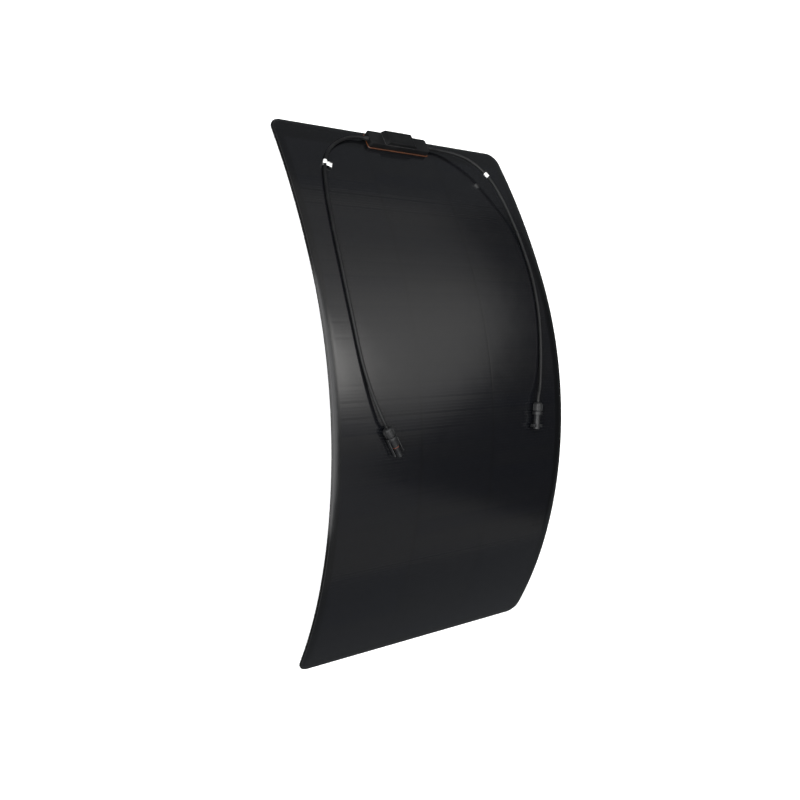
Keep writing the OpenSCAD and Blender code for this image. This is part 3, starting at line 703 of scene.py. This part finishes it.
def makeBead():
    # a round profile is drawn round the foot of the box, then made uneven
    look = boxLook
    out = look["beadWidth"] / 2
    halfW, halfD = look["width"] / 2 + out * 0.7, look["depth"] / 2 + out * 0.7
    corner = look["corner"] + out * 0.7
    bm = bmesh.new()
    ring = bmesh.ops.create_circle(bm, cap_ends=False, segments=12, radius=out)["verts"]
    bmesh.ops.rotate(bm, cent=(0, 0, 0), verts=ring, matrix=Matrix.Rotation(math.pi / 2, 3, "X"))
    bmesh.ops.scale(bm, vec=(0.95, 1, look["beadHeight"] / out * 0.78), verts=ring)
    bmesh.ops.translate(bm, vec=(halfW, -halfD + corner, 0.0001), verts=ring)
    edges = list({e for v in ring for e in v.link_edges})
    sides = [(Vector((0, 1, 0)), 2 * (halfD - corner)), (Vector((-1, 0, 0)), 2 * (halfW - corner)),
             (Vector((0, -1, 0)), 2 * (halfD - corner)), (Vector((1, 0, 0)), 2 * (halfW - corner))]
    for k, (way, run) in enumerate(sides):
        steps = max(2, round(run / 0.0035))
        for i in range(steps):
            made = bmesh.ops.extrude_edge_only(bm, edges=edges)["geom"]
            edges = [g for g in made if isinstance(g, bmesh.types.BMEdge)]
            moved = [g for g in made if isinstance(g, bmesh.types.BMVert)]
            bmesh.ops.translate(bm, vec=way * run / steps, verts=moved)
            edges = [e for e in edges if all(v in set(moved) for v in e.verts)]
        cent = Vector(((halfW - corner) * (1 if k in (0, 3) else -1),
                       (halfD - corner) * (1 if k in (0, 1) else -1), 0))
        ends = list({v for e in edges for v in e.verts})
        made = bmesh.ops.spin(bm, geom=ends + edges, cent=cent, axis=(0, 0, 1), dvec=(0, 0, 0),
                              angle=math.pi / 2, steps=5, use_merge=False)["geom_last"]
        edges = [g for g in made if isinstance(g, bmesh.types.BMEdge)]
    bmesh.ops.remove_doubles(bm, verts=bm.verts, dist=1e-5)
    bmesh.ops.recalc_face_normals(bm, faces=bm.faces)
    for v in bm.verts:
        swell = noise.noise(v.co * 160) + 0.5 * noise.noise(v.co * 420)
        v.co.z = max(v.co.z * (1 + 0.22 * swell), -0.0006)
        v.co.x *= 1 + 0.0016 * swell
        v.co.y *= 1 + 0.0060 * swell
    bmesh.ops.translate(bm, vec=(0, 0, -look["pad"]), verts=bm.verts)
    bmesh.ops.transform(bm, matrix=boxFrame, verts=bm.verts)
    piece = makePiece("sealantBead", bm, "sealant", math.radians(70))
    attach(piece, "sheet")
    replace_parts(piece, "sealant_bead")


softCopy("boxBase", "box_base", boxLook["baseSoft"], "boxPlastic", "sheet", 3)
softCopy("boxGasket", "box_gasket", 0.0002, "gasketRubber", "sheet")
makeLid()
makeBead()


def makeBush(name, side):
    # rubber bush with three grooves that let it bend
    length = boxLook["bushLength"]
    tip, root = 0.0038, 0.0045
    profile = [(-0.016, 0.003), (-0.016, root), (0.0012, root)]
    for k in range(3):
        a = 0.0024 + k * 0.0030
        wide = root + (tip - root) * a / length
        profile += [(a, wide), (a + 0.0003, wide - 0.0006), (a + 0.0012, wide - 0.0006),
                    (a + 0.0015, wide - 0.00005)]
    profile += [(length, tip), (length, 0.003)]
    place = boxFrame @ Matrix.Translation((side * boxLook["bushStart"], 0,
                                           boxLook["cableHeight"]))
    if side < 0:
        place = place @ Matrix.Rotation(math.pi, 4, "Z")
    piece = lathePiece(name, profile, place, "bushRubber", 0.00012, 40)
    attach(piece, "sheet")
    return piece


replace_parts(makeBush("bushLeft", -1), "cable_bush_left")
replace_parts(makeBush("bushRight", 1), "cable_bush_right")
print("junction box made")

# connectors: profiles are (along, radius) from the rear of the nut
connectorLook = {
    "nut": [(0.0, 0.0034), (0.0, 0.0058), (0.0020, 0.0080), (0.0040, 0.0086),
            (0.0160, 0.0086), (0.0170, 0.0081), (0.0170, 0.0068), (0.0057, 0.0068),
            (0.0057, 0.0034)],
    "ribs": 12, "ribTop": 0.0093, "ribHalf": 0.0011, "ribFrom": 0.0032, "ribTo": 0.0160,
    "socketBody": [(0.0060, 0.0055), (0.0060, 0.0065), (0.0180, 0.0065), (0.0180, 0.0095),
                   (0.0240, 0.0095), (0.0240, 0.0080), (0.0355, 0.0080), (0.0370, 0.0068),
                   (0.0370, 0.0047), (0.0570, 0.0047), (0.0580, 0.0041), (0.0580, 0.00275),
                   (0.0130, 0.00275), (0.0130, 0.0055)],
    "pinBody": [(0.0060, 0.0055), (0.0060, 0.0065), (0.0180, 0.0065), (0.0180, 0.0095),
                (0.0240, 0.0095), (0.0240, 0.0062), (0.0512, 0.0062), (0.0520, 0.0058),
                (0.0520, 0.00495), (0.0330, 0.00495), (0.0330, 0.00275), (0.0130, 0.00275),
                (0.0130, 0.0055)],
    "socketContact": [(0.0130, 0.0010), (0.0130, 0.0027), (0.0570, 0.0027), (0.0570, 0.00205),
                      (0.0410, 0.00205), (0.0410, 0.0010)],
    "pinContact": [(0.0130, 0.0005), (0.0130, 0.0027), (0.0330, 0.0027), (0.0330, 0.0020),
                   (0.0475, 0.0020), (0.0490, 0.0012), (0.0490, 0.0005)],
    "seal": [(0.0060, 0.0030), (0.0060, 0.0055), (0.0130, 0.0055), (0.0130, 0.0030)],
    # grip flats and latch roots of the socket housing, keeper of the pin housing, sealing ring
    "flatAlong": (0.0242, 0.0372), "flatHalf": 0.0048, "flatY": 0.0064,
    "rootAlong": (0.0180, 0.0240), "rootAcross": (0.0060, 0.0102), "rootHalf": 0.0030,
    "keeperAlong": (0.0423, 0.0483), "keeperOuter": (0.0105, 0.0118),
    "keeperWeb": (0.0046, 0.0110), "keeperDeck": (0.0033, 0.0046),
    "ringPlace": (0.0378, 0.0055, 0), "ringHalf": 0.0008,
}


def makeNut(name, place):
    look = connectorLook
    bm = bmesh.new()
    addLathe(bm, look["nut"], 0.0003)
    bmesh.ops.remove_doubles(bm, verts=bm.verts, dist=1e-6)
    bmesh.ops.recalc_face_normals(bm, faces=bm.faces)
    for k in range(look["ribs"]):
        turn = Matrix.Rotation(k * 2 * math.pi / look["ribs"], 4, "X")
        addBlock(bm, (look["ribFrom"], -look["ribHalf"], 0.0078),
                 (look["ribTo"], look["ribHalf"], look["ribTop"]), turn, 0.00045)
    bmesh.ops.transform(bm, matrix=place, verts=bm.verts)
    return makePiece(name, bm, "nutPlastic")


def makeSocketHousing(place):
    look = connectorLook
    bm = bmesh.new()
    addLathe(bm, look["socketBody"], 0.0003, 72)
    bmesh.ops.remove_doubles(bm, verts=bm.verts, dist=1e-6)
    bmesh.ops.recalc_face_normals(bm, faces=bm.faces)
    flatFrom, flatTo = look["flatAlong"]
    for v in bm.verts:
        onFlat = flatFrom < v.co.x < flatTo and abs(v.co.z) < look["flatHalf"]
        if onFlat and abs(v.co.y) > look["flatY"]:
            v.co.y = math.copysign(look["flatY"], v.co.y)
    (x0, x1), (y0, y1), half = look["rootAlong"], look["rootAcross"], look["rootHalf"]
    addBlock(bm, (x0, -y1, -half), (x1, -y0, half), Matrix(), 0.0004)
    addBlock(bm, (x0, y0, -half), (x1, y1, half), Matrix(), 0.0004)
    bmesh.ops.transform(bm, matrix=place, verts=bm.verts)
    return makePiece("socketHousing", bm, "housingPlastic")


def makePinHousing(place):
    look = connectorLook
    bm = bmesh.new()
    addLathe(bm, look["pinBody"], 0.0003, 72)
    bmesh.ops.remove_doubles(bm, verts=bm.verts, dist=1e-6)
    bmesh.ops.recalc_face_normals(bm, faces=bm.faces)
    (x0, x1), tall = look["keeperAlong"], look["keeperDeck"][1]
    for side in (-1, 1):
        outer = sorted(side * y for y in look["keeperOuter"])
        addBlock(bm, (x0, outer[0], -tall), (x1, outer[1], tall), Matrix(), 0.0003)
        for top in (-1, 1):
            web = sorted(side * y for y in look["keeperWeb"])
            deck = sorted(top * z for z in look["keeperDeck"])
            addBlock(bm, (x0, web[0], deck[0]), (x1, web[1], deck[1]), Matrix(), 0.0003)
    bmesh.ops.transform(bm, matrix=place, verts=bm.verts)
    return makePiece("pinHousing", bm, "housingPlastic")


def makeRing(place):
    bm = bmesh.new()
    ring = bmesh.ops.create_circle(bm, cap_ends=False, segments=16,
                                   radius=connectorLook["ringHalf"])["verts"]
    bmesh.ops.translate(bm, vec=connectorLook["ringPlace"], verts=ring)
    edges = list({e for v in ring for e in v.link_edges})
    bmesh.ops.spin(bm, geom=ring + edges, cent=(0, 0, 0), axis=(1, 0, 0), dvec=(0, 0, 0),
                   angle=2 * math.pi, steps=40, use_merge=True)
    bmesh.ops.recalc_face_normals(bm, faces=bm.faces)
    bmesh.ops.transform(bm, matrix=place, verts=bm.verts)
    return makePiece("sealingRing", bm, "oringRubber")


def rides(piece, body, node):
    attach(piece, body)
    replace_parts(piece, node)
    return piece


socketPlace, pinPlace = connectorFrame(leadLeft), connectorFrame(leadRight)
leftPieces = [
    rides(makeNut("socketNut", socketPlace), "socket_nut", "socket_cap_nut"),
    rides(makeSocketHousing(socketPlace), "sheet", "socket_housing"),
    rides(makeRing(socketPlace), "sheet", "socket_oring"),
    rides(lathePiece("socketContact", connectorLook["socketContact"], socketPlace,
                     "silverContact"), "sheet", "socket_contact"),
    rides(lathePiece("socketSeal", connectorLook["seal"], socketPlace, "bushRubber"), "sheet", "socket_seal"),
    softCopy("latchLeft", "latch_arm_left", 0.0003, "housingPlastic",
             "latch_left"),
    softCopy("latchRight", "latch_arm_right", 0.0003, "housingPlastic",
             "latch_right"),
    softCopy("markerLeft", "marker_left", 0.00012, "markerPlastic", "sheet"),
]
rightPieces = [
    rides(makeNut("pinNut", pinPlace), "pin_nut", "pin_cap_nut"),
    rides(makePinHousing(pinPlace), "sheet", "pin_housing"),
    rides(lathePiece("pinContact", connectorLook["pinContact"], pinPlace, "silverContact"), "sheet", "pin_contact"),
    rides(lathePiece("pinSeal", connectorLook["seal"], pinPlace, "bushRubber"), "sheet", "pin_seal"),
    softCopy("markerRight", "marker_right", 0.00012, "markerPlastic", "sheet"),
]
print("connectors made")

for cord, start, node, length, pieces in (
        (leftCord, leftExit, "lead_left", 0.649, leftPieces),
        (rightCord, rightExit, "lead_right", 0.642, rightPieces)):
    cord.data.materials.append(finishes["jacketRubber"])
    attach(cord, "sheet")
    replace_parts(cord, node)

# pieces inside the box keep their CAD shape
insideFinishes = {
    "terminal_left": "terminalBrass", "terminal_right": "terminalBrass",
    "bypass_diode": "diodeEpoxy", "leadout_left": "tinnedRibbon",
    "leadout_right": "tinnedRibbon", "lead_tail_left": "jacketRubber",
    "lead_tail_right": "jacketRubber", "box_pad": "gasketRubber",
}
for node, finish in insideFinishes.items():
    mesh = nodes[node].data
    mesh.materials.clear()
    mesh.materials.append(finishes[finish])

# floor, light and background
studio = {
    "floor": (0.86, 0.86, 0.86, 1), "floorSize": 30, "floorGlow": 0.55,
    "world": (0.92, 0.96, 1.0, 1), "worldStrength": 0.16,
    "lamps": [
        # place, aim, width, height, power
        ((-0.60, 0.0, 2.45), (-0.60, 0.0, 0.0), 2.8, 4.4, 105),
        ((-3.40, 0.0, 2.30), (-0.20, 0.0, 0.0), 3.0, 1.8, 150),
    ],
}
softCard = {
    # a glowing panel over the +X side, which the face mirrors: one soft patch, one bright strip
    "low": (1.02, -4.6), "high": (5.20, 5.0), "height": 2.5, "peak": 6.0, "lean": 0.45,
    "edge": (1.88, 2.22), "patchRise": (-0.8, 0.3), "patchFade": (0.8, 3.6), "patch": 0.15,
    "base": 0.040, "dark": 0.004, "corner": -0.84, "spot": (1.16, 0.66), "spotSize": (0.25, 1.05),
}


def stageMesh(name, low, high, height, material):
    bm = bmesh.new()
    corners = [(low[0], low[1]), (high[0], low[1]), (high[0], high[1]), (low[0], high[1])]
    bm.faces.new([bm.verts.new((x, y, height)) for x, y in corners])
    mesh = bpy.data.meshes.new(name)
    bm.to_mesh(mesh)
    bm.free()
    mesh.materials.append(material)
    panel = bpy.data.objects.new(name, mesh)
    scene.collection.objects.link(panel)
    return panel


def makeFloor():
    finish = Finish("floor")
    tone = finish.grain(finish.place(), 3, 3)
    light = studio["floor"]
    shade = tuple(c * 0.985 for c in light[:3]) + (1,)
    material = finish.surface(BaseColor=finish.mix(tone, light, shade), Roughness=0.9,
                              EmissionColor=(1, 1, 1, 1), EmissionStrength=studio["floorGlow"])
    half = studio["floorSize"] / 2
    floor = stageMesh("floor", (-half, -half), (half, half), 0, material)
    floor.visible_glossy = False


def ramp(finish, value, start, end, first=0.0, last=1.0):
    return finish.node("ShaderNodeMapRange", {"interpolation_type": "SMOOTHSTEP"},
                       {0: value, 1: start, 2: end, 3: first, 4: last})


def makeCard():
    says = softCard
    finish = Finish("softCard")
    parts = finish.tree.nodes.new("ShaderNodeSeparateXYZ")
    finish.feed(parts.inputs[0], finish.place())
    x, y = Signal(finish, parts.outputs[0]), Signal(finish, parts.outputs[1])
    near = ramp(finish, x - says["lean"] * y, *says["edge"], first=1.0, last=0.0)
    pastCorner = (y - says["corner"] * x) < 0
    lit = finish.sum("MAXIMUM", near, pastCorner)
    glow = says["dark"] + (says["base"] - says["dark"]) * lit
    patch = near * ramp(finish, y, *says["patchRise"]) \
        * ramp(finish, y, *says["patchFade"], first=1.0, last=0.15)
    offX = (x - says["spot"][0]) / says["spotSize"][0]
    offY = (y - says["spot"][1]) / says["spotSize"][1]
    spot = ramp(finish, finish.sum("SQRT", offX * offX + offY * offY), 0, 1, first=1.0, last=0.0)
    share = glow + patch * says["patch"] + spot
    material = finish.surface(
        BaseColor=(0, 0, 0, 1), Roughness=1.0, EmissionStrength=says["peak"],
        EmissionColor=finish.mix(share, (0, 0, 0, 1), (1, 0.985, 0.96, 1)))
    card = stageMesh("softCard", says["low"], says["high"], says["height"], material)
    card.visible_camera = False


def makeLamp(name, place, aim, width, height, power):
    lamp = bpy.data.lights.new(name, "AREA")
    lamp.shape = "RECTANGLE"
    lamp.size = width
    lamp.size_y = height
    lamp.energy = power
    holder = bpy.data.objects.new(name, lamp)
    scene.collection.objects.link(holder)
    holder.location = place
    holder.rotation_euler = (Vector(aim) - Vector(place)).to_track_quat("-Z", "Y").to_euler()


makeFloor()
makeCard()
for i, lampSays in enumerate(studio["lamps"]):
    makeLamp("lamp%d" % i, *lampSays)
world = bpy.data.worlds.new("studio")
scene.world = world
world.use_nodes = True
world.node_tree.nodes["Background"].inputs[0].default_value = studio["world"]
world.node_tree.nodes["Background"].inputs[1].default_value = studio["worldStrength"]
scene.view_settings.view_transform = "Standard"
print("studio made")
